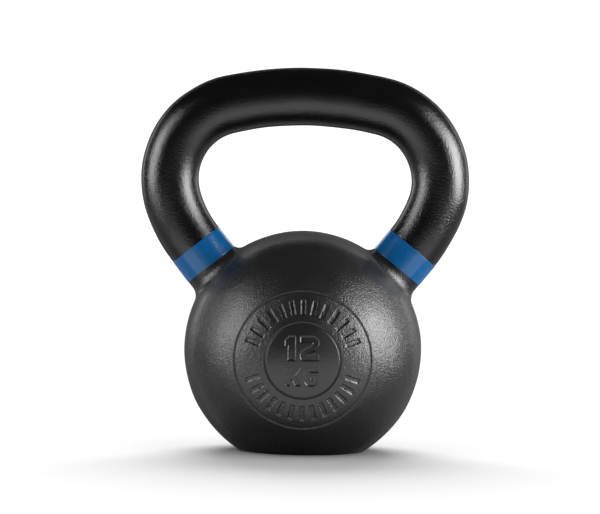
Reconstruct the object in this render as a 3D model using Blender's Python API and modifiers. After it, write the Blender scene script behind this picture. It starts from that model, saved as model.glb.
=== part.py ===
"""Cast-iron kettlebell marked 12 kg: ball and handle cast in one piece, with a colour band round each end
of the handle.

Frame: +Z up, the middle of the flat base at the origin, the handle's centreline in the XZ plane, the marked
face of the ball towards -Y. Metres.
"""

import math

import bmesh
import bpy
from mathutils import Vector

# The ball
BALL_RADIUS = 0.06925
BALL_CENTRE = Vector((0, 0, 0.05880))
BALL_SEGMENTS = 56
BALL_RINGS = 26
BASE_ROUND = 0.0018
BASE_ROUND_STEPS = 3

# The handle: a round bar bent along arcs that follow one another with a common tangent. Each arc is
# (radius, degrees at which it ends, points), counted from level at the middle of the grip. A straight
# with the last arc's direction carries on into the ball.
BAR_RADIUS = 0.01686
BAR_TOP_Z = 0.20640
BAR_ARCS = ((0.1964, 13.1, 4), (0.0446, 108.2, 11), (0.0783, 128.8, 3))
BAR_BEVEL_RESOLUTION = 16

# The hollow where the bar runs into the ball: wider on the outside of the leg than in the window
FILLET_MEAN = 0.0047
FILLET_SWING = 0.0023
FILLET_STEPS = 4
FILLET_PART = 0.80
DIP = 0.0006
ROOT_DEPTH = 0.0080

# The colour bands: a thin strip wrapped round the bar in a shallow seat, its ends meeting at the back. Each
# lies on the straight, just below where the last arc ends.
BAND_START = 0.0005
BAND_WIDTH = 0.0146
BAND_THICKNESS = 0.0003
BAND_PROUD = 0.00015
SEAM_GAP = 0.0006
CLEARANCE = 0.0003
SEAT_WALL = 0.00004

# The two fine grooves that ring the marking on the front of the ball, and how far their middle is
# below the ball's
RING_RADII = (0.0386, 0.0212)
RING_GROOVE_DEPTH = 0.0006
RING_GROOVE_SIDES = 6
RING_FALL = 0.0034

BLACK_POWDER_COAT = (0.012, 0.012, 0.013, 1.0)
BLUE_VINYL = (0.003, 0.110, 0.310, 1.0)


def clear_scene():
    for thing in list(bpy.data.objects):
        bpy.data.objects.remove(thing)


def new_collection(name):
    made = bpy.data.collections.new(name)
    bpy.context.scene.collection.children.link(made)
    return made


def new_material(name, colour, roughness, metallic):
    made = bpy.data.materials.new(name)
    made.use_nodes = True
    shader = made.node_tree.nodes["Principled BSDF"]
    shader.inputs["Base Color"].default_value = colour
    shader.inputs["Roughness"].default_value = roughness
    shader.inputs["Metallic"].default_value = metallic
    return made


def add_object(name, mesh, collection, material=None):
    made = bpy.data.objects.new(name, mesh)
    collection.objects.link(made)
    if material:
        mesh.materials.clear()
        mesh.materials.append(material)
    return made


def add_boolean(target, other, operation):
    step = target.modifiers.new(f"{operation.lower()} {other.name}", "BOOLEAN")
    step.operation = operation
    step.solver = "EXACT"
    step.object = other


def as_cutter(thing, name, cutters):
    """Move an object into the cutters' collection, out of the render."""
    for home in list(thing.users_collection):
        home.objects.unlink(thing)
    cutters.objects.link(thing)
    thing.name = name
    thing.hide_render = True
    thing.display_type = "WIRE"
    return thing


# The handle's centreline


def outward_at(angle):
    """Away from the window, where the centreline has turned down by angle."""
    return Vector((math.sin(angle), 0, math.cos(angle)))


def direction_at(angle):
    return Vector((math.cos(angle), 0, -math.sin(angle)))


def centreline(distance):
    """(place, angle) on the +X side, at a distance along the centreline from the middle of the grip."""
    place = Vector((0, 0, BAR_TOP_Z))
    angle = 0.0
    left = distance
    for radius, end, _ in BAR_ARCS:
        turn = min(math.radians(end) - angle, left / radius)
        centre = place - radius * outward_at(angle)
        angle += turn
        place = centre + radius * outward_at(angle)
        left -= radius * turn
    return place + left * direction_at(angle), angle


def arc_ends():
    """Distance along the centreline at which each arc ends."""
    ends = []
    reached = 0.0
    start = 0.0
    for radius, end, _ in BAR_ARCS:
        reached += radius * math.radians(end - start)
        start = end
        ends.append(reached)
    return ends


def band_span(margin=0.0):
    """Distances along the centreline of the band's two edges, moved apart by a margin at each edge."""
    start = arc_ends()[-1] + BAND_START
    return start - margin, start + BAND_WIDTH + margin


def evenly(start, end, count):
    return [start + (end - start) * i / count for i in range(count + 1)]


def bar_stations():
    """(distance, radius) down the +X side: the grip, the shoulder, the leg and the band's seat."""
    stations = [(0.0, BAR_RADIUS)]
    start = 0.0
    for (_, _, points), end in zip(BAR_ARCS, arc_ends()):
        stations += [(distance, BAR_RADIUS) for distance in evenly(start, end, points)[1:]]
        start = end
    seat_start, seat_end = band_span(CLEARANCE)
    seat_radius = BAR_RADIUS + BAND_PROUD - BAND_THICKNESS - CLEARANCE
    stations.append((seat_start - SEAT_WALL, BAR_RADIUS))
    stations.append((seat_start, seat_radius))
    stations.append((seat_end, seat_radius))
    stations.append((seat_end + SEAT_WALL, BAR_RADIUS))
    return stations


def swept_mesh(name, places_and_radii):
    """An open round tube through the places, as a mesh."""
    curve = bpy.data.curves.new(name, "CURVE")
    curve.dimensions = "3D"
    curve.bevel_depth = 1.0
    curve.bevel_resolution = BAR_BEVEL_RESOLUTION
    spline = curve.splines.new("POLY")
    spline.points.add(len(places_and_radii) - 1)
    for point, (place, radius) in zip(spline.points, places_and_radii):
        point.co = (*place, 1)
        point.radius = radius
    guide = bpy.data.objects.new(name, curve)
    bpy.context.scene.collection.objects.link(guide)
    graph = bpy.context.evaluated_depsgraph_get()
    mesh = bpy.data.meshes.new_from_object(guide.evaluated_get(graph))
    bpy.data.objects.remove(guide)
    mesh.name = name
    return mesh


# The hollow where the bar runs into the ball


def fillet_point(turn, step):
    """A point of the hollow on the +X side. Turn 0 faces away from the window, and 90 degrees faces back.

    The hollow's section there is part of a circle that touches the bar and the ball. Step 0 is on the bar,
    and the one after FILLET_STEPS is just under the ball's skin.
    """
    start, angle = centreline(arc_ends()[-1])
    direction = direction_at(angle)
    size = FILLET_MEAN + FILLET_SWING * math.cos(turn)
    normal = math.cos(turn) * outward_at(angle) + math.sin(turn) * Vector((0, 1, 0))
    offset = start - BALL_CENTRE + (BAR_RADIUS + size) * normal
    along = offset.dot(direction)
    travel = -along - math.sqrt(along ** 2 - offset.length_squared + (BALL_RADIUS + size) ** 2)
    circle_centre = BALL_CENTRE + offset + travel * direction
    to_ball = (BALL_CENTRE - circle_centre).normalized()
    opening = math.pi - normal.angle(to_ball)
    side = (to_ball + math.cos(opening) * normal).normalized()
    sweep = FILLET_PART * opening * min(step, FILLET_STEPS) / FILLET_STEPS
    point = circle_centre + size * (math.sin(sweep) * side - math.cos(sweep) * normal)
    if step > FILLET_STEPS:
        heading = math.cos(sweep) * side + math.sin(sweep) * normal
        up = point - BALL_CENTRE
        point += heading * (up.length - BALL_RADIUS + DIP) / -heading.dot(up.normalized())
    return point


def flare_into_ball(work, turn_layer, side):
    """Carry the bar's open end on that side (1 or -1) through the hollow and close it inside the ball."""
    edges = [edge for edge in work.edges if edge.is_boundary and side * edge.verts[0].co.x > 0]
    for step in range(FILLET_STEPS + 2):
        grown = bmesh.ops.extrude_edge_only(work, edges=edges)["geom"]
        for vertex in (part for part in grown if isinstance(part, bmesh.types.BMVert)):
            vertex.co = fillet_point(vertex[turn_layer], step)
            vertex.co.x *= side
        edges = [part for part in grown if isinstance(part, bmesh.types.BMEdge) and part.is_boundary]
    cap = bmesh.ops.edgeloop_fill(work, edges=edges)["faces"]
    tip = bmesh.ops.poke(work, faces=cap)["verts"][0]
    tip.co += (BALL_CENTRE - tip.co).normalized() * ROOT_DEPTH


def handle_mesh():
    """The bar, bent and seated for the bands, with its two ends flared into the ball."""
    half = [(centreline(distance)[0], radius) for distance, radius in bar_stations()]
    other_half = [(Vector((-place.x, 0, place.z)), radius) for place, radius in reversed(half[1:])]
    mesh = swept_mesh("handle", other_half + half)
    end_place, end_angle = centreline(bar_stations()[-1][0])
    work = bmesh.new()
    work.from_mesh(mesh)
    turn_layer = work.verts.layers.float.new("turn")
    for vertex in work.verts:
        offset = Vector((abs(vertex.co.x), vertex.co.y, vertex.co.z)) - end_place
        vertex[turn_layer] = math.atan2(offset.y, offset.dot(outward_at(end_angle)))
    for side in (1, -1):
        flare_into_ball(work, turn_layer, side)
    bmesh.ops.recalc_face_normals(work, faces=work.faces)
    work.to_mesh(mesh)
    work.free()
    mesh.shade_smooth()
    return mesh


# The ball


def ball_profile():
    """Outline of the ball in the XZ plane, from its top down to the middle of the flat base."""
    rise = BASE_ROUND - BALL_CENTRE.z
    reach = math.sqrt((BALL_RADIUS - BASE_ROUND) ** 2 - rise ** 2)
    edge = math.atan2(reach, rise)
    points = []
    for angle in evenly(0.0, edge, BALL_RINGS):
        points.append((BALL_RADIUS * math.sin(angle), BALL_CENTRE.z + BALL_RADIUS * math.cos(angle)))
    for angle in evenly(edge, math.pi, BASE_ROUND_STEPS)[1:]:
        points.append((reach + BASE_ROUND * math.sin(angle), BASE_ROUND + BASE_ROUND * math.cos(angle)))
    points.append((0.0, 0.0))
    return points


def add_ball(name, collection, material):
    profile = ball_profile()
    mesh = bpy.data.meshes.new(name)
    edges = [(i, i + 1) for i in range(len(profile) - 1)]
    mesh.from_pydata([(x, 0, z) for x, z in profile], edges, [])
    made = add_object(name, mesh, collection, material)
    turn = made.modifiers.new("turn", "SCREW")
    turn.steps = BALL_SEGMENTS
    turn.render_steps = BALL_SEGMENTS
    turn.use_merge_vertices = True
    turn.merge_threshold = 0.00001
    return made


def add_ring_cutter(radius, cutters):
    """A thin ring whose middle line lies on the front of the ball."""
    depth = math.sqrt(BALL_RADIUS ** 2 - radius ** 2)
    drop = math.asin(RING_FALL / depth)
    facing = Vector((0, -math.cos(drop), -math.sin(drop)))
    bpy.ops.mesh.primitive_torus_add(
        major_radius=radius,
        minor_radius=RING_GROOVE_DEPTH,
        major_segments=BALL_SEGMENTS,
        minor_segments=RING_GROOVE_SIDES,
        location=BALL_CENTRE + depth * facing,
        rotation=(math.pi / 2 + drop, 0, 0),
    )
    return as_cutter(bpy.context.object, f"ring_{round(radius * 1000)}_mm", cutters)


# The sub-parts


def build_casting(collection, cutters, material):
    body = add_ball("cast_iron_body", collection, material)
    handle = as_cutter(add_object("handle", handle_mesh(), collection), "handle", cutters)
    add_boolean(body, handle, "UNION")
    for radius in RING_RADII:
        add_boolean(body, add_ring_cutter(radius, cutters), "DIFFERENCE")


def build_band(name, side, collection, cutters, material):
    """A wrapped strip: a tube at the band's outer skin, given its thickness inwards and slit at the back."""
    stations = []
    for distance in band_span():
        place, angle = centreline(distance)
        place.x *= side
        stations.append((place, BAR_RADIUS + BAND_PROUD))
    mesh = swept_mesh(name, stations)
    mesh.shade_smooth()
    band = add_object(name, mesh, collection, material)
    thicken = band.modifiers.new("thickness", "SOLIDIFY")
    thicken.thickness = BAND_THICKNESS
    thicken.offset = -1.0

    middle = (stations[0][0] + stations[1][0]) / 2
    bpy.ops.mesh.primitive_cube_add(
        size=1.0,
        location=middle + Vector((0, BAR_RADIUS, 0)),
        rotation=(0, side * (angle - math.pi / 2), 0),
        scale=(SEAM_GAP, 0.01, 2 * BAND_WIDTH),
    )
    slit = as_cutter(bpy.context.object, f"{name}_slit", cutters)
    add_boolean(band, slit, "DIFFERENCE")


def main():
    clear_scene()
    kettlebell = new_collection("kettlebell_12_kg")
    cutters = new_collection("cutters")
    black = new_material("black_powder_coated_cast_iron", BLACK_POWDER_COAT, 0.55, 0.0)
    blue = new_material("blue_vinyl_band", BLUE_VINYL, 0.30, 0.0)
    build_casting(kettlebell, cutters, black)
    build_band("left_colour_band", -1, kettlebell, cutters, blue)
    build_band("right_colour_band", 1, kettlebell, cutters, blue)


main()
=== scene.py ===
import math

import bmesh
import bpy
import numpy as np
from mathutils import Matrix, Vector
from mathutils.geometry import delaunay_2d_cdt


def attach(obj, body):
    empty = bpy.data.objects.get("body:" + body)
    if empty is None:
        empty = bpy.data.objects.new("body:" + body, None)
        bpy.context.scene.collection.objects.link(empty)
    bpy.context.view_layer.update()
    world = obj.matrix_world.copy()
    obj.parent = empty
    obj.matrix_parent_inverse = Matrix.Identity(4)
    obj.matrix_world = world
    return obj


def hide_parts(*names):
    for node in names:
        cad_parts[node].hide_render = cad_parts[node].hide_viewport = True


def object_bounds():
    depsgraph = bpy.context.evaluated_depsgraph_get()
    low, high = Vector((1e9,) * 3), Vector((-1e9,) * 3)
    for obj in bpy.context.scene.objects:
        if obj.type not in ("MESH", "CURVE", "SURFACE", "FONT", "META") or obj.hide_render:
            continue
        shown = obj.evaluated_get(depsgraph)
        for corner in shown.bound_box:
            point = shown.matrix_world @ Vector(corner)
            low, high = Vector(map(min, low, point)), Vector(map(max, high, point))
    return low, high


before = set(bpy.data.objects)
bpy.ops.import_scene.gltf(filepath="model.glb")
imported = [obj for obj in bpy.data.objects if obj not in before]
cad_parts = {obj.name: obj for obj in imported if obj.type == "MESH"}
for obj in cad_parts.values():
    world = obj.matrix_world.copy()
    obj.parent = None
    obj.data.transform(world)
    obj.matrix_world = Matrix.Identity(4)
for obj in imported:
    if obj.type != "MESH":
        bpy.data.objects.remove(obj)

cadLow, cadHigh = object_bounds()
mm = 0.001


# helpers: colours, nodes, vectors, meshes

def linearColour(hexCode):
    # sRGB hex to linear: divided by 12.92 near black, a power of 2.4 above
    channels = np.array([int(hexCode[i:i + 2], 16) for i in (1, 3, 5)]) / 255
    bent = np.where(channels <= 0.04045, channels / 12.92, ((channels + 0.055) / 1.055) ** 2.4)
    return (*bent.tolist(), 1.0)


def addNode(tree, kind, settings=None, links=None):
    # settings: attribute or input name to value; links: input name or number to an output socket
    node = tree.nodes.new(kind)
    for name, value in (settings or {}).items():
        if isinstance(name, str) and hasattr(node, name):
            setattr(node, name, value)
        else:
            node.inputs[name].default_value = value
    for name, source in (links or {}).items():
        tree.links.new(source, node.inputs[name])
    return node


def startMaterial(name):
    # an empty node material, and its tree
    material = bpy.data.materials.new(name)
    material.use_nodes = True
    material.node_tree.nodes.clear()
    return material, material.node_tree


def unit(vectors):
    # each vector divided by its length
    return vectors / np.linalg.norm(vectors, axis=-1, keepdims=True)


def smoothRamp(x):
    # 0 below 0, 1 above 1, and 3x^2 - 2x^3 between
    x = np.clip(x, 0, 1)
    return x * x * (3 - 2 * x)


def gridFaces(start, rows, columns, wrap=True):
    # quads between the rows of a grid whose points are numbered row by row from start
    row = np.arange(rows - 1)[:, None] * columns + start
    column = np.arange(columns if wrap else columns - 1)
    after = (column + 1) % columns
    quads = np.stack([row + column, row + after, row + columns + after, row + columns + column], axis=-1)
    return quads.reshape(-1, 4)


def addPiece(name, points, faces, material):
    # an object of the visual model, from its points and groups of faces
    mesh = bpy.data.meshes.new(name)
    mesh.from_pydata(points.tolist(), [], [face for group in faces for face in group.tolist()])
    work = bmesh.new()
    work.from_mesh(mesh)
    bmesh.ops.recalc_face_normals(work, faces=work.faces)
    work.to_mesh(mesh)
    work.free()
    mesh.materials.append(material)
    mesh.shade_smooth()
    piece = bpy.data.objects.new(name, mesh)
    bpy.context.scene.collection.objects.link(piece)
    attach(piece, "root")
    print(f"{name}: {len(mesh.polygons)} faces")
    return piece


# the casting: a ball, and a bar whose two ends run into it through hollow fillets

casting = {
    "ballCentreHeight": 58.8 * mm,
    "baseRound": 1.8 * mm,
    "baseRings": (0.97, 0.9, 0.78, 0.62, 0.44, 0.24, 0.1),  # circles on the flat, as shares of its radius
    "barRadius": 16.86 * mm,
    # bends of the bar from the middle of the grip outwards: radius, and the angle at which each ends
    "bends": [(196.4 * mm, 13.1), (44.6 * mm, 108.2), (78.3 * mm, 128.8)],
    "filletMean": 6.6 * mm,
    "filletSwing": 1.4 * mm,  # wider by this outside the leg, narrower by this in the window
    "aroundBar": 96,
    "barRowSpacing": 2.0 * mm,
    "leanLength": 10 * mm,  # rows above the fillet lean over at least this length
    "filletRows": 10,
    "aroundBase": 128,
    "baseRoundRows": 5,
    "skinSpacing": 2.2 * mm,
    "skinGrowth": 1.22,  # each ring's spacing over the one before, until it reaches skinSpacing
    "skinMargin": 1.32 * mm,  # no points of the skin nearer than this to another surface's rim
    "waveHeight": 0.10 * mm,  # slow waves that the sand mould leaves
    "waveLengths": (14 * mm, 34 * mm),
    "waveCount": 14,
    "waveSeed": 12,
    "waveFade": (2 * mm, 10 * mm),  # from none to all of the waves between these two heights
}
ballRadius = (cadHigh.y - cadLow.y) / 2
ballCentre = np.array([0.0, 0.0, casting["ballCentreHeight"]])
across = np.array([0.0, 1.0, 0.0])


def barCentreline(distance):
    # place and outward normal in the XZ plane at distances along the centreline: arcs with a common
    # tangent where they meet, then the last one's tangent
    distance = np.asarray(distance, dtype=float)
    place = np.zeros(distance.shape + (3,))
    place[..., 2] = cadHigh.z - casting["barRadius"]
    angle = np.zeros_like(distance)
    left = distance.copy()
    reached = 0.0
    for radius, end in casting["bends"]:
        turned = angle + np.clip(left / radius, 0, math.radians(end) - reached)
        place[..., 0] += radius * (np.sin(turned) - np.sin(angle))
        place[..., 2] += radius * (np.cos(turned) - np.cos(angle))
        left = left - radius * (turned - angle)
        reached = math.radians(end)
        angle = turned
    none = np.zeros_like(angle)
    direction = np.stack([np.cos(angle), none, -np.sin(angle)], axis=-1)
    outward = np.stack([np.sin(angle), none, np.cos(angle)], axis=-1)
    return place + np.maximum(left, 0)[..., None] * direction, outward


def bendsLength():
    # length of the centreline over the bends: the sum of radius times the angle turned
    length = 0.0
    reached = 0.0
    for radius, end in casting["bends"]:
        length += radius * (math.radians(end) - reached)
        reached = math.radians(end)
    return length


straightStart = bendsLength()
legPlace, legOutward = barCentreline(straightStart)
legDirection = np.array([legOutward[2], 0.0, -legOutward[0]])


def aroundLeg(turn):
    # unit vectors square to the leg: its outward way times cos turn, and the way back times sin turn
    return np.cos(turn)[:, None] * legOutward + np.sin(turn)[:, None] * across


def filletCircles(turn):
    # at each turn round the leg, the circle that touches the leg and the ball: how far down the leg it
    # touches, its centre and radius, the way from the ball side, and the angle between its two contacts
    size = casting["filletMean"] + casting["filletSwing"] * np.cos(turn)
    normal = aroundLeg(turn)
    offset = legPlace - ballCentre + (casting["barRadius"] + size)[:, None] * normal
    along = offset @ legDirection
    travel = -along - np.sqrt(along ** 2 - (offset ** 2).sum(axis=1) + (ballRadius + size) ** 2)
    centre = ballCentre + offset + travel[:, None] * legDirection
    toBall = unit(ballCentre - centre)
    opening = np.pi - np.arccos((normal * toBall).sum(axis=1))
    sideways = unit(toBall + np.cos(opening)[:, None] * normal)
    return travel, centre, size, sideways, opening


def legSurface(turn, travel):
    # the leg's skin and its normal at a travel along the skin from where the leg turns straight: on the
    # bar up to the fillet, then round the fillet's circle
    start, centre, size, sideways, opening = filletCircles(turn)
    normal = aroundLeg(turn)
    sweep = np.clip((travel - start) / size, 0, opening)[:, None]
    onBar = legPlace + casting["barRadius"] * normal + np.minimum(travel, start)[:, None] * legDirection
    spoke = np.sin(sweep) * sideways - np.cos(sweep) * normal
    onFillet = (travel > start)[:, None]
    return np.where(onFillet, centre + size[:, None] * spoke, onBar), np.where(onFillet, -spoke, normal)


def barTurns():
    # even angles round the bar
    return np.linspace(0, 2 * np.pi, casting["aroundBar"], endpoint=False)


def barRow(distance):
    # a circle round the bar; where distance differs from turn to turn, the circle leans
    turn = barTurns()
    place, outward = barCentreline(distance)
    return place + casting["barRadius"] * (np.cos(turn)[:, None] * outward + np.sin(turn)[:, None] * across)


def handleRows():
    # rows of the +X half from the middle of the grip to the ball's skin. The last rows above the fillet
    # lean little by little, until they lie where the fillet starts
    turn = barTurns()
    spacing = casting["barRowSpacing"]
    start, _, size, _, opening = filletCircles(turn)
    upright = round((straightStart - casting["leanLength"]) / spacing)
    rows = [barRow(step * spacing) for step in range(upright + 1)]
    lean = start + straightStart - upright * spacing
    leaning = math.ceil(lean.max() / spacing)
    rows += [barRow(upright * spacing + lean * step / leaning) for step in range(1, leaning + 1)]
    for step in range(1, casting["filletRows"] + 1):
        rows.append(legSurface(turn, start + size * opening * step / casting["filletRows"])[0])
    return rows


def mirrored(points):
    # the same on the other side of the handle's middle
    return points * np.array([-1.0, 1.0, 1.0])


def basePatch():
    # circles from the ball's skin over the quarter-round edge, then across the flat base towards its middle
    turn = np.linspace(0, 2 * np.pi, casting["aroundBase"], endpoint=False)
    rise = casting["baseRound"] - ballCentre[2]
    reach = math.sqrt((ballRadius - casting["baseRound"]) ** 2 - rise ** 2)
    angles = np.linspace(math.atan2(reach, rise), math.pi, casting["baseRoundRows"] + 1)
    radii = reach + casting["baseRound"] * np.sin(angles)
    heights = casting["baseRound"] * (1 + np.cos(angles))
    flat = reach * np.array(casting["baseRings"])
    radii = np.concatenate([radii, flat])
    heights = np.concatenate([heights, np.zeros(len(flat))])
    rows = np.zeros((len(radii), len(turn), 3))
    rows[..., 0] = radii[:, None] * np.cos(turn)
    rows[..., 1] = radii[:, None] * np.sin(turn)
    rows[..., 2] = heights[:, None]
    return rows


# the marked face: two fine ring grooves, the weight in block strokes, and plain bars between the grooves

marking = {
    "fall": 3.4 * mm,  # its middle is this far below the ball's
    "innerRing": 21.2 * mm,
    "outerRing": 38.6 * mm,
    "grooveHalfWidth": 0.70 * mm,
    "grooveDepth": 0.60 * mm,
    "around": 576,
    "fieldSpacing": 0.42 * mm,
    "wall": 0.55 * mm,  # width of a recess's sloping wall
    "depth": 0.75 * mm,
    "pull": 0.45,  # points this near a wall's edge are drawn onto it, as a share of their spacing
    "slopeStep": 0.02 * mm,
    "barMiddle": 30.0 * mm,
    "barHalfHeight": 4.3 * mm,
    "barHalfWidth": 1.45 * mm,
    "barCorner": 0.5 * mm,
    "barsInArc": 13,
    "arcHalfAngle": 70.0,  # degrees from the top or the bottom to the arc's last bar
}
markFacing = np.array([0.0, -1.0, 0.0])
markUp = np.array([0.0, 0.0, 1.0])
markRight = np.array([1.0, 0.0, 0.0])


def roundedPath(corners, cuts):
    # a bent line through the corners, with each inner corner cut back to two points
    path = [corners[0]]
    for before, corner, after, cut in zip(corners, corners[1:], corners[2:], cuts):
        for other in (before, after):
            t = cut / math.dist(corner, other)
            path.append(tuple(c + t * (o - c) for c, o in zip(corner, other)))
    return path + [corners[-1]]


# each stroke in millimetres from the mark's middle: half its width, the box it is cut to, and its path
strokes = [
    (2.00, (-10.2, 0.1, -3.9, 14.1), [(-9.9, 9.9), (-4.6, 13.1)]),
    (2.30, (-10.2, 0.1, -3.9, 14.1), [(-6.2, 17.0), (-6.2, -3.0)]),
    (1.90, (-1.6, 0.1, 9.3, 14.1), roundedPath(
        [(-1.6, 12.2), (7.4, 12.2), (7.4, 8.0), (0.3, 4.6), (0.3, 2.0), (12.0, 2.0)], (1.5, 1.6, 0.9, 0.3))),
    (1.45, (-9.5, -14.2, -0.4, -3.3), [(-8.0, 0.0), (-8.0, -18.0)]),
    (1.60, (-9.5, -14.2, -0.4, -3.3), [(-6.6, -9.6), (-1.4, -1.6)]),
    (1.60, (-9.5, -14.2, -0.4, -3.3), [(-5.6, -8.2), (-1.1, -16.0)]),
    (1.60, (0.9, -14.2, 9.2, -3.3), roundedPath(
        [(12.0, -4.9), (2.5, -4.9), (2.5, -12.6), (7.6, -12.6), (7.6, -9.0), (5.4, -9.0)],
        (1.2, 1.2, 1.2, 0.1))),
]


def strokeDistance(a, b, halfWidth, box, path):
    # signed distance to the path's round-ended stroke, cut to its box: negative inside
    nearest = np.full(a.shape, np.inf)
    for (ax, ay), (bx, by) in zip(path[:-1], path[1:]):
        dx, dy = bx - ax, by - ay
        t = np.clip(((a - ax) * dx + (b - ay) * dy) / (dx * dx + dy * dy), 0, 1)
        nearest = np.minimum(nearest, np.hypot(a - ax - t * dx, b - ay - t * dy))
    outside = np.maximum(np.maximum(box[0] - a, a - box[2]), np.maximum(box[1] - b, b - box[3]))
    return np.maximum(nearest - halfWidth, outside)


def weightDistance(a, b):
    # signed distance to the nearest of the strokes
    return np.min([strokeDistance(a / mm, b / mm, *stroke) for stroke in strokes], axis=0) * mm


def barsDistance(a, b):
    # signed distance to the nearest of the evenly spaced bars, measured along and across the ring
    radius = np.hypot(a, b)
    fromMiddle = np.degrees(np.arctan2(a, np.abs(b)))  # 0 at the top and at the bottom of the ring
    step = 2 * marking["arcHalfAngle"] / (marking["barsInArc"] - 1)
    bar = np.clip(np.round(fromMiddle / step), -(marking["barsInArc"] // 2), marking["barsInArc"] // 2)
    sideways = np.abs(np.radians(fromMiddle - bar * step)) * radius - marking["barHalfWidth"]
    upwards = np.abs(radius - marking["barMiddle"]) - marking["barHalfHeight"]
    corner = marking["barCorner"]
    out = np.hypot(np.maximum(sideways + corner, 0), np.maximum(upwards + corner, 0)) - corner
    return out + np.minimum(np.maximum(sideways, upwards) + corner, 0)


def grooveDepth(radius):
    # (1 - x^2)^2 across each ring groove
    depth = np.zeros_like(radius)
    for middle in (marking["innerRing"], marking["outerRing"]):
        x = np.clip((radius - middle) / marking["grooveHalfWidth"], -1, 1)
        depth += marking["grooveDepth"] * (1 - x * x) ** 2
    return depth


def onMarkedFace(a, b, depth):
    # from the mark's upright plane straight back to the ball: right a, up b, then to the ball's skin, and
    # from there the depth towards its middle
    up = b - marking["fall"]
    away = np.sqrt(ballRadius ** 2 - a ** 2 - up ** 2)
    skin = a[..., None] * markRight + up[..., None] * markUp + away[..., None] * markFacing
    return ballCentre + skin * (1 - depth / ballRadius)[..., None]


def sunk(a, b, distance, cell):
    # draw the points nearest a wall's two edges onto them, so that the wall is straight, then sink
    step = marking["slopeStep"]
    for level in (0.0, -marking["wall"]):
        here = distance(a, b)
        slopeA = (distance(a + step, b) - distance(a - step, b)) / (2 * step)
        slopeB = (distance(a, b + step) - distance(a, b - step)) / (2 * step)
        near = np.abs(here - level) < marking["pull"] * cell
        a = np.where(near, a - (here - level) * slopeA, a)
        b = np.where(near, b - (here - level) * slopeB, b)
    return a, b, marking["depth"] * smoothRamp(-distance(a, b) / marking["wall"])


def ringRadii():
    # radii of the marked face's rows, from its rim inwards: close across each groove
    shares = np.array([1.5, 1.0, 0.75, 0.5, 0.25, 0, -0.25, -0.5, -0.75, -1.0, -1.5])
    outer = marking["outerRing"] + marking["grooveHalfWidth"] * shares
    inner = marking["innerRing"] + marking["grooveHalfWidth"] * shares
    count = round((outer[-1] - inner[0]) / marking["fieldSpacing"])
    return np.concatenate([outer, np.linspace(outer[-1], inner[0], count + 1)[1:-1], inner])


def markedFacePoints():
    # rows between the rim and the inner ring, then a disc inside the last row that is a square grid
    # stretched to a circle: u sqrt(1 - v^2/2), v sqrt(1 - u^2/2)
    around = marking["around"]
    radii = ringRadii()
    turn = -np.pi / 4 + 2 * np.pi * np.arange(around) / around
    a = radii[:, None] * np.cos(turn)
    b = radii[:, None] * np.sin(turn)
    a, b, depth = sunk(a, b, barsDistance, marking["fieldSpacing"])
    rows = onMarkedFace(a, b, depth + grooveDepth(np.hypot(a, b)))

    side = around // 4
    line = math.sqrt(2) * np.sin(np.linspace(-np.pi / 4, np.pi / 4, side + 1))
    u, v = np.meshgrid(line, line, indexing="ij")
    a = radii[-1] * u * np.sqrt(1 - v * v / 2)
    b = radii[-1] * v * np.sqrt(1 - u * u / 2)
    cell = radii[-1] * math.pi / 2 * math.sqrt(2) / side
    a, b, depth = sunk(a, b, weightDistance, cell)
    return rows, onMarkedFace(a, b, depth)


def discRim(side):
    # numbers of the square grid's rim points, in the order of the rows' turns
    number = np.arange((side + 1) ** 2).reshape(side + 1, side + 1)
    return np.concatenate([number[-1, :-1], number[:0:-1, -1], number[0, :0:-1], number[:-1, 0]])


# the ball's plain skin: rings of points about the marked face, joined to the other surfaces' rims

def insideRim(directions, rim, margin):
    # whether directions from the ball's middle lie inside a closed rim on the ball, or nearer than margin
    rimDirections = unit(rim - ballCentre)
    pole = unit(rimDirections.mean(axis=0))
    level = unit(np.cross(pole, across if abs(pole[1]) < 0.9 else markRight))
    other = np.cross(pole, level)
    rimTurn = np.arctan2(rimDirections @ other, rimDirections @ level)
    rimAngle = np.arccos(rimDirections @ pole)
    order = np.argsort(rimTurn)
    turn = np.arctan2(directions @ other, directions @ level)
    limit = np.interp(turn, rimTurn[order], rimAngle[order], period=2 * np.pi)
    return np.arccos(np.clip(directions @ pole, -1, 1)) < limit + margin / ballRadius


def rimAxis():
    # unit vectors of the marked face's rim on the ball: its axis, and right and up across it
    drop = math.asin(marking["fall"] / math.sqrt(ballRadius ** 2 - ringRadii()[0] ** 2))
    axis = math.cos(drop) * markFacing - math.sin(drop) * markUp
    return axis, markRight, math.cos(drop) * markUp + math.sin(drop) * markFacing


def skinDirections(rims):
    # rings that widen in spacing from the marked face's rim to the back of the ball, every other one turned
    # by half a step, without the points inside the rims or too near them
    axis, right, up = rimAxis()
    angle = math.asin(ringRadii()[0] / ballRadius)
    spacing = 2 * np.pi * ringRadii()[0] / marking["around"]
    rings = []
    while True:
        spacing = min(spacing * casting["skinGrowth"], casting["skinSpacing"])
        angle += spacing / ballRadius * 0.9  # rows of near even triangles
        if angle > np.pi:
            break
        count = max(6, round(2 * np.pi * ballRadius * math.sin(angle) / spacing))
        turn = 2 * np.pi * (np.arange(count) + 0.5 * (len(rings) % 2)) / count
        level = np.cos(turn)[:, None] * right + np.sin(turn)[:, None] * up
        rings.append(math.cos(angle) * axis + math.sin(angle) * level)
    directions = np.concatenate(rings)
    for rim in rims:
        directions = directions[~insideRim(directions, rim, casting["skinMargin"])]
    return directions


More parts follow.
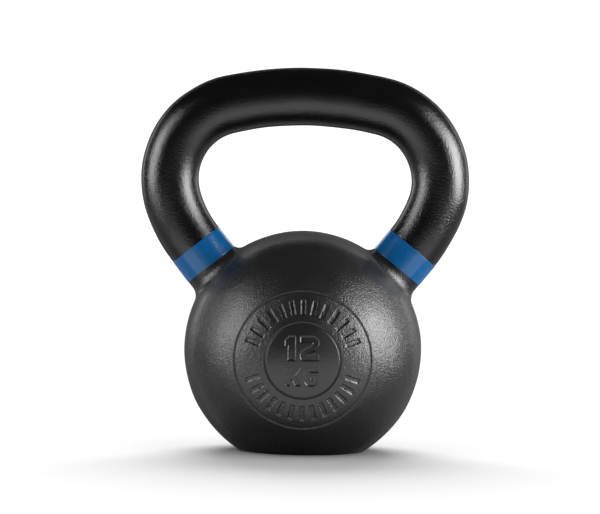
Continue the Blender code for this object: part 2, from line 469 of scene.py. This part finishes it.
def skinTriangles(points, rims):
    # a flat Delaunay triangulation after projection from the middle of the marked face, where circles on
    # the ball stay circles. Triangles that lie within one hole's rim are left out
    directions = unit(points - ballCentre)
    axis, right, up = rimAxis()
    flat = np.stack([directions @ right, directions @ up], axis=1)
    flat /= (1 - directions @ axis)[:, None]
    edges = [edge for rim in rims for edge in zip(rim.tolist(), np.roll(rim, -1).tolist())]
    places = [Vector(place) for place in flat.tolist()]
    _, _, faces, sources, _, _ = delaunay_2d_cdt(places, edges, [], 0, 1e-9, True)
    source = np.array([origins[0] for origins in sources])
    triangles = source[np.array(faces)]
    rimOf = np.full(len(points), -1)
    for number, rim in enumerate(rims):
        rimOf[rim] = number
    owners = rimOf[triangles]
    hollow = (owners[:, 0] >= 0) & (owners[:, 0] == owners[:, 1]) & (owners[:, 1] == owners[:, 2])
    return triangles[~hollow]


def castingWaves(points):
    # slow unevenness: a sum of plane sine waves with lengths between the two given, faded out at the base
    draw = np.random.default_rng(casting["waveSeed"])
    count = casting["waveCount"]
    shortest, longest = casting["waveLengths"]
    directions = unit(draw.normal(size=(count, 3)))
    lengths = draw.uniform(shortest, longest, count)
    phases = draw.uniform(0, 2 * np.pi, count)
    waves = np.sin(points @ (directions * (2 * np.pi / lengths)[:, None]).T + phases).sum(axis=1)
    none, whole = casting["waveFade"]
    fade = smoothRamp((points[:, 2] - none) / (whole - none))
    return casting["waveHeight"] * waves / math.sqrt(count) * fade


def buildCasting(material):
    # the handle, the base, the marked face and its disc share their rims' points with the skin between them.
    # The waves then move every point along its normal
    half = handleRows()
    handle = np.stack([mirrored(row) for row in half[:0:-1]] + half)
    base = basePatch()
    rows, disc = markedFacePoints()
    columns = handle.shape[1]

    groups = [handle.reshape(-1, 3), base.reshape(-1, 3), np.zeros((1, 3)), rows.reshape(-1, 3),
              disc.reshape(-1, 3)]
    starts = np.concatenate([[0], np.cumsum([len(group) for group in groups])])
    handleStart, baseStart, middleStart, rowsStart, discStart, skinStart = starts

    leftRim = np.arange(columns)
    rightRim = leftRim + (len(handle) - 1) * columns
    baseRim = np.arange(base.shape[1]) + baseStart
    faceRim = np.arange(marking["around"]) + rowsStart
    surfaces = np.concatenate(groups)
    directions = skinDirections([surfaces[rim] for rim in (leftRim, rightRim, baseRim)])
    points = np.concatenate([surfaces, ballCentre + ballRadius * directions])

    rims = [faceRim, leftRim, rightRim, baseRim]
    chosen = np.concatenate(rims + [np.arange(skinStart, len(points))])
    lengths = np.cumsum([0] + [len(rim) for rim in rims])
    localRims = [np.arange(a, b) for a, b in zip(lengths[:-1], lengths[1:])]
    skin = chosen[skinTriangles(points[chosen], localRims)]

    lastBaseRow = np.arange(base.shape[1]) + baseStart + (len(base) - 1) * base.shape[1]
    baseMiddle = np.full(base.shape[1], middleStart)
    lastRow = np.arange(marking["around"]) + rowsStart + (len(rows) - 1) * marking["around"]
    # the disc's own rim repeats the last row, so its faces use the row's points
    side = marking["around"] // 4
    number = np.arange(discStart, skinStart)
    number[discRim(side)] = lastRow
    faces = [
        gridFaces(handleStart, len(handle), columns),
        gridFaces(baseStart, len(base), base.shape[1]),
        np.stack([lastBaseRow, np.roll(lastBaseRow, -1), baseMiddle], axis=-1),
        gridFaces(rowsStart, len(rows), marking["around"]),
        number[gridFaces(0, side + 1, side + 1, wrap=False)],
        skin,
    ]
    used = np.zeros(len(points), dtype=bool)
    for group in faces:
        used[group.ravel()] = True
    fresh = np.cumsum(used) - 1
    piece = addPiece("powderCoatedCasting", points[used], [fresh[group] for group in faces], material)
    normals = np.empty(len(piece.data.vertices) * 3)
    piece.data.vertex_normals.foreach_get("vector", normals)
    moved = points[used] + castingWaves(points[used])[:, None] * normals.reshape(-1, 3)
    piece.data.vertices.foreach_set("co", moved.ravel())
    piece.data.update()
    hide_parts("cast_iron_body")
    return piece


# the colour bands: a thin wrapped strip that follows the leg's skin, its two ends meeting at the back

band = {
    "start": 0.5 * mm,  # below where the leg turns straight
    "width": 14.6 * mm,
    "thickness": 0.22 * mm,
    "sunk": 0.06 * mm,
    "seam": 0.25 * mm,
    "around": 180,
    "acrossRows": 14,
    "edgeRows": 4,
}


def bandSection():
    # closed outline of the strip, along the leg and out of its skin: flat top, quarter-round edges
    edge = band["thickness"]
    turn = np.linspace(0, np.pi / 2, band["edgeRows"] + 1)
    flat = np.linspace(edge, band["width"] - edge, band["acrossRows"] + 1)[1:-1]
    top = np.concatenate([edge - edge * np.cos(turn), flat, band["width"] - edge + edge * np.sin(turn)])
    height = np.concatenate([edge * np.sin(turn), np.full(len(flat), edge), edge * np.cos(turn)])
    along = np.concatenate([top, top[-1:], top[:1]])
    up = np.concatenate([height, [-band["sunk"]], [-band["sunk"]]])
    return band["start"] + along, up


def buildBand(name, node, side, material):
    # the strip's outline carried round the leg from one side of the seam to the other, closed at both ends
    along, up = bandSection()
    seam = np.pi / 2
    gap = band["seam"] / 2 / casting["barRadius"]
    turns = np.linspace(seam + gap, seam + 2 * np.pi - gap, band["around"] + 1)
    rows = []
    for travel, height in zip(along, up):
        point, normal = legSurface(turns, np.full(len(turns), travel))
        if side < 0:
            point, normal = mirrored(point), mirrored(normal)
        rows.append(point + (height + castingWaves(point))[:, None] * normal)
    ring = np.stack(rows, axis=1)  # turn by turn, so that each row is the closed outline
    count = ring.shape[1]
    points = ring.reshape(-1, 3)
    first = np.arange(count)
    last = first + (len(ring) - 1) * count
    faces = [gridFaces(0, len(ring), count), first[None, ::-1], last[None, :]]
    piece = addPiece(name, points, faces, material)
    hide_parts(node)
    return piece


# black powder coat over cast iron: polyester powder baked on, so its film flows into a glossy orange peel
# over the sandy grain of the casting. To the eye it is near black with broken, silky highlights, rougher
# on the ball than on the handle, and calmer inside the inner ring, with a few pale specks of dust

powderCoat = {
    "colour": "#151516",
    "handleColour": "#060607",
    "speckColour": "#8C8C8A",
    "ballRoughness": 0.31,
    "handleRoughness": 0.21,
    "roughnessDrift": 0.05,
    "driftNoise": (0.3, 0.7),  # the noise values that give the least and the most
    "edgeRoughness": 0.8,
    "edgeSlant": (0.5, 0.82),  # 0 is seen square on and 1 edge on
    "grainSize": 0.9 * mm,  # the real sand is finer, and wouldn't show
    "grainHeight": 0.32 * mm,
    "grainOnMark": 0.45,  # shares of the ball's grain
    "grainOnHandle": 0.7,
    "peelSize": 5.0 * mm,
    "peelHeight": 0.20 * mm,
    "peelOnHandle": 0.45,
    "driftSize": 22 * mm,
    "handleStarts": 1 * mm,  # the finish turns from the ball's to the handle's between these two heights
    "handleReached": 9 * mm,
    "markEdge": 2 * mm,
    "ior": 1.55,
    "speckSpacing": 7.0 * mm,
    "speckRadius": 0.35 * mm,
    "specksLeft": 0.14,  # the share of places that hold a speck
}


def speckMask(tree, place, spacing, radius, share):
    # 1 inside small dots round the points of a random lattice, at the share of them given
    lattice = addNode(tree, "ShaderNodeTexVoronoi", {"Scale": 1 / spacing, "Randomness": 1.0},
                      {"Vector": place})
    dot = addNode(tree, "ShaderNodeMapRange",
                  {"From Min": 0.5 * radius / spacing, "From Max": radius / spacing, "To Min": 1.0,
                   "To Max": 0.0}, {"Value": lattice.outputs["Distance"]})
    picked = addNode(tree, "ShaderNodeSeparateColor", links={"Color": lattice.outputs["Color"]})
    chosen = addNode(tree, "ShaderNodeMath", {"operation": "LESS_THAN", 1: share}, {0: picked.outputs["Red"]})
    return addNode(tree, "ShaderNodeMath", {"operation": "MULTIPLY"},
                   {0: dot.outputs["Result"], 1: chosen.outputs[0]}).outputs[0]


def powderCoatMaterial():
    coat = powderCoat
    material, tree = startMaterial("blackPowderCoatedCastIron")
    place = addNode(tree, "ShaderNodeTexCoord").outputs["Object"]

    # 0 on the ball and 1 on the handle, by the distance from the ball's middle
    fromBall = addNode(tree, "ShaderNodeVectorMath", {"operation": "DISTANCE", 1: tuple(ballCentre)},
                       {0: place})
    onHandle = addNode(tree, "ShaderNodeMapRange",
                       {"interpolation_type": "SMOOTHSTEP", "From Min": ballRadius + coat["handleStarts"],
                        "From Max": ballRadius + coat["handleReached"]},
                       {"Value": fromBall.outputs["Value"]}).outputs["Result"]

    # grainOnMark inside the inner ring and 1 outside it
    markMiddle = onMarkedFace(np.zeros(1), np.zeros(1), np.zeros(1))[0]
    fromMark = addNode(tree, "ShaderNodeVectorMath", {"operation": "DISTANCE", 1: tuple(markMiddle)},
                       {0: place})
    markShare = addNode(tree, "ShaderNodeMapRange",
                        {"interpolation_type": "SMOOTHSTEP", "From Min": marking["innerRing"],
                         "From Max": marking["innerRing"] + coat["markEdge"], "To Min": coat["grainOnMark"]},
                        {"Value": fromMark.outputs["Value"]}).outputs["Result"]

    blacks = addNode(tree, "ShaderNodeMix",
                     {"data_type": "RGBA", 6: linearColour(coat["colour"]),
                      7: linearColour(coat["handleColour"])}, {0: onHandle})
    specks = speckMask(tree, place, coat["speckSpacing"], coat["speckRadius"], coat["specksLeft"])
    colour = addNode(tree, "ShaderNodeMix", {"data_type": "RGBA", 7: linearColour(coat["speckColour"])},
                     {0: specks, 6: blacks.outputs[2]})

    # the ball's or the handle's roughness, and the drift on it
    clouds = addNode(tree, "ShaderNodeTexNoise", {"Scale": 1 / coat["driftSize"], "Detail": 3},
                     {"Vector": place})
    least, most = coat["driftNoise"]
    drift = addNode(tree, "ShaderNodeMapRange",
                    {"From Min": least, "From Max": most, "To Min": -coat["roughnessDrift"],
                     "To Max": coat["roughnessDrift"]}, {"Value": clouds.outputs["Fac"]})
    evenRoughness = addNode(tree, "ShaderNodeMapRange",
                            {"To Min": coat["ballRoughness"], "To Max": coat["handleRoughness"]},
                            {"Value": onHandle})
    clouded = addNode(tree, "ShaderNodeMath", {"operation": "ADD"},
                      {0: evenRoughness.outputs["Result"], 1: drift.outputs["Result"]})

    # rougher towards its outline, where sand scatters what a smooth coat would mirror, so that a box behind
    # it doesn't burn the outline out
    slant = addNode(tree, "ShaderNodeLayerWeight", {"Blend": 0.5})
    least, most = coat["edgeSlant"]
    edge = addNode(tree, "ShaderNodeMapRange",
                   {"interpolation_type": "SMOOTHSTEP", "From Min": least, "From Max": most,
                    "To Max": coat["edgeRoughness"]}, {"Value": slant.outputs["Facing"]})
    roughness = addNode(tree, "ShaderNodeMath", {"operation": "MAXIMUM"},
                        {0: clouded.outputs[0], 1: edge.outputs["Result"]})

    # the grain lies on the orange peel
    normal = None
    for size, height, detail, handleShare in (("peelSize", "peelHeight", 2, "peelOnHandle"),
                                              ("grainSize", "grainHeight", 3, "grainOnHandle")):
        ripple = addNode(tree, "ShaderNodeTexNoise", {"Scale": 1 / coat[size], "Detail": detail},
                         {"Vector": place})
        placeShare = addNode(tree, "ShaderNodeMapRange", {"To Min": 1.0, "To Max": coat[handleShare]},
                             {"Value": onHandle})
        strength = addNode(tree, "ShaderNodeMath", {"operation": "MULTIPLY"},
                           {0: placeShare.outputs["Result"], 1: markShare})
        links = {"Height": ripple.outputs["Fac"], "Strength": strength.outputs[0]}
        if normal:
            links["Normal"] = normal
        normal = addNode(tree, "ShaderNodeBump", {"Distance": coat[height]}, links).outputs["Normal"]

    shader = addNode(tree, "ShaderNodeBsdfPrincipled", {"IOR": coat["ior"], "Metallic": 0.0},
                     {"Base Color": colour.outputs[2], "Roughness": roughness.outputs[0], "Normal": normal})
    addNode(tree, "ShaderNodeOutputMaterial", links={"Surface": shader.outputs[0]})
    return material


# blue vinyl strip: calendered film, smooth and glossy, a deep blue that lightens where it mirrors the
# floor, faintly uneven from the glue under it, with a few pale specks of dust

blueBand = {
    "colour": "#004370",
    "lighterColour": "#00487A",
    "speckColour": "#7FA9C4",
    "roughness": 0.17,
    "cloudRoughness": 0.22,  # where the noise is at its lightest
    "cloudNoise": (0.35, 0.7),
    "ior": 1.47,
    "cloudSize": 4.0 * mm,
    "glueSize": 3.0 * mm,
    "glueHeight": 0.05 * mm,
    "speckSpacing": 4.0 * mm,
    "speckRadius": 0.32 * mm,
    "specksLeft": 0.16,
}


def blueBandMaterial():
    film = blueBand
    material, tree = startMaterial("blueVinylBand")
    place = addNode(tree, "ShaderNodeTexCoord").outputs["Object"]
    clouds = addNode(tree, "ShaderNodeTexNoise", {"Scale": 1 / film["cloudSize"], "Detail": 3},
                     {"Vector": place})
    least, most = film["cloudNoise"]
    share = addNode(tree, "ShaderNodeMapRange", {"From Min": least, "From Max": most},
                    {"Value": clouds.outputs["Fac"]}).outputs["Result"]
    blues = addNode(tree, "ShaderNodeMix",
                    {"data_type": "RGBA", 6: linearColour(film["colour"]),
                     7: linearColour(film["lighterColour"])}, {0: share})
    specks = speckMask(tree, place, film["speckSpacing"], film["speckRadius"], film["specksLeft"])
    colour = addNode(tree, "ShaderNodeMix", {"data_type": "RGBA", 7: linearColour(film["speckColour"])},
                     {0: specks, 6: blues.outputs[2]})
    roughness = addNode(tree, "ShaderNodeMapRange",
                        {"To Min": film["roughness"], "To Max": film["cloudRoughness"]}, {"Value": share})
    lumps = addNode(tree, "ShaderNodeTexNoise", {"Scale": 1 / film["glueSize"], "Detail": 2},
                    {"Vector": place})
    glue = addNode(tree, "ShaderNodeBump", {"Distance": film["glueHeight"]}, {"Height": lumps.outputs["Fac"]})
    shader = addNode(tree, "ShaderNodeBsdfPrincipled", {"IOR": film["ior"], "Metallic": 0.0},
                     {"Base Color": colour.outputs[2], "Roughness": roughness.outputs["Result"],
                      "Normal": glue.outputs["Normal"]})
    addNode(tree, "ShaderNodeOutputMaterial", links={"Surface": shader.outputs[0]})
    return material


# the studio: a pale floor, soft boxes left and right, a panel behind, a card lying in front whose light
# only the gloss takes up, and a broad daylight lamp high behind that casts the soft shadow

studio = {
    "floorColour": "#f2f2f2",
    "mirroredFloorColour": "#8c8c8c",
    "floorRoughness": 0.9,
    "floorHalf": 6.0,
    "aimHeight": 0.11,  # the height of the place that every lamp points at
    "leftBox": {"bearing": -74, "rise": 10, "distance": 1.1, "size": (0.56, 1.0), "radiance": 7.8},
    "rightBox": {"bearing": 76, "rise": 10, "distance": 1.1, "size": (0.74, 1.0), "radiance": 14.5},
    "backPanel": {"bearing": 180, "rise": 14, "distance": 1.4, "size": (3.2, 0.8), "radiance": 1.6},
    "frontCard": {"bearing": 0, "rise": 0, "distance": 0.27, "size": (0.6, 0.40), "radiance": 1.1},
    "cardHeight": 1 * mm,
    "dayEnergy": 2.8,
    "dayAngle": 45,  # degrees across, as seen from the object
    "dayRise": 45,
    "dayDistance": 2.0,
    "backdropStrength": 1.2,
    "roomStrength": 0.62,
    "mirroredStrength": 0.02,
}


def buildFloor():
    # a square of matt white laminate, which the object mirrors as if it were greyer
    material, tree = startMaterial("paleStudioFloor")
    rays = addNode(tree, "ShaderNodeLightPath")
    colour = addNode(tree, "ShaderNodeMix",
                     {"data_type": "RGBA", 6: linearColour(studio["floorColour"]),
                      7: linearColour(studio["mirroredFloorColour"])}, {0: rays.outputs["Is Glossy Ray"]})
    shader = addNode(tree, "ShaderNodeBsdfPrincipled",
                     {"Roughness": studio["floorRoughness"], "Specular IOR Level": 0.1},
                     {"Base Color": colour.outputs[2]})
    addNode(tree, "ShaderNodeOutputMaterial", links={"Surface": shader.outputs[0]})
    half = studio["floorHalf"]
    corners = np.array([(-half, -half, 0), (half, -half, 0), (half, half, 0), (-half, half, 0)], dtype=float)
    mesh = bpy.data.meshes.new("floor")
    mesh.from_pydata(corners.tolist(), [], [(0, 1, 2, 3)])
    mesh.materials.append(material)
    floor = bpy.data.objects.new("floor", mesh)
    bpy.context.scene.collection.objects.link(floor)


def aimedLamp(name, light, bearing, rise, distance):
    # bearing in degrees to the right, seen from the front, and rise in degrees above level
    flat, up = math.radians(bearing), math.radians(rise)
    towards = Vector((math.sin(flat) * math.cos(up), -math.cos(flat) * math.cos(up), math.sin(up)))
    lamp = bpy.data.objects.new(name, light)
    lamp.location = Vector((0, 0, studio["aimHeight"])) + distance * towards
    lamp.rotation_euler = towards.to_track_quat("Z", "Y").to_euler()
    lamp.visible_camera = False
    bpy.context.scene.collection.objects.link(lamp)
    return lamp


def softBox(name, receivers, bearing, rise, distance, size, radiance):
    # power of an even rectangle: pi times radiance times area
    light = bpy.data.lights.new(name, "AREA")
    light.shape = "RECTANGLE"
    light.size, light.size_y = size
    light.energy = radiance * math.pi * size[0] * size[1]
    lamp = aimedLamp(name, light, bearing, rise, distance)
    lamp.light_linking.receiver_collection = receivers
    return lamp


def buildWorld():
    # a white backdrop for the camera, an even white room for matt surfaces, and a dim one for mirrored rays,
    # so that only the boxes, the card and the floor show in the coat
    world = bpy.data.worlds.new("studio")
    world.use_nodes = True
    tree = world.node_tree
    tree.nodes.clear()
    rays = addNode(tree, "ShaderNodeLightPath")
    backdrop, room, mirroredRoom = [
        addNode(tree, "ShaderNodeBackground", {"Color": (1, 1, 1, 1), "Strength": studio[name]}).outputs[0]
        for name in ("backdropStrength", "roomStrength", "mirroredStrength")]
    unseen = addNode(tree, "ShaderNodeMixShader",
                     links={0: rays.outputs["Is Glossy Ray"], 1: room, 2: mirroredRoom})
    whole = addNode(tree, "ShaderNodeMixShader",
                    links={0: rays.outputs["Is Camera Ray"], 1: unseen.outputs[0], 2: backdrop})
    addNode(tree, "ShaderNodeOutputWorld", links={"Surface": whole.outputs[0]})
    bpy.context.scene.world = world


viewpoint = {
    "distance": 1.5,
    "height": 131 * mm,
    "lens": 154.0,
    "aim": (-2.35 * mm, 0.0, 112.7 * mm),
    "lean": 0.85,  # degrees that the object leans clockwise in the frame
}


def buildCamera():
    camera = bpy.data.cameras.new("camera")
    camera.lens = viewpoint["lens"]
    lookout = bpy.data.objects.new("camera", camera)
    lookout.location = (viewpoint["aim"][0], -viewpoint["distance"], viewpoint["height"])
    turn = (Vector(viewpoint["aim"]) - lookout.location).to_track_quat("-Z", "Y").to_matrix()
    lookout.rotation_euler = (turn @ Matrix.Rotation(math.radians(viewpoint["lean"]), 3, "Z")).to_euler()
    bpy.context.scene.collection.objects.link(lookout)
    bpy.context.scene.camera = lookout
    bpy.context.scene.view_settings.view_transform = "Standard"


buildCamera()
print("camera placed")
castingPiece = buildCasting(powderCoatMaterial())
blue = blueBandMaterial()
bands = [
    buildBand("leftColourBand", "left_colour_band", -1, blue),
    buildBand("rightColourBand", "right_colour_band", 1, blue),
]
buildFloor()
buildWorld()
print("floor and world done")

objectOnly = bpy.data.collections.new("lit by the boxes")
for piece in [castingPiece, *bands]:
    objectOnly.objects.link(piece)
boxes = {name: softBox(name, objectOnly, **studio[name])
         for name in ("leftBox", "rightBox", "backPanel", "frontCard")}
boxes["frontCard"].location.z = studio["cardHeight"]
boxes["frontCard"].rotation_euler = (math.pi, 0, 0)
boxes["frontCard"].visible_diffuse = boxes["backPanel"].visible_diffuse = False
daylight = bpy.data.lights.new("highBackLight", "SUN")
daylight.energy = studio["dayEnergy"]
daylight.angle = math.radians(studio["dayAngle"])
aimedLamp("highBackLight", daylight, 180, studio["dayRise"], studio["dayDistance"]).visible_glossy = False
print("lamps done")
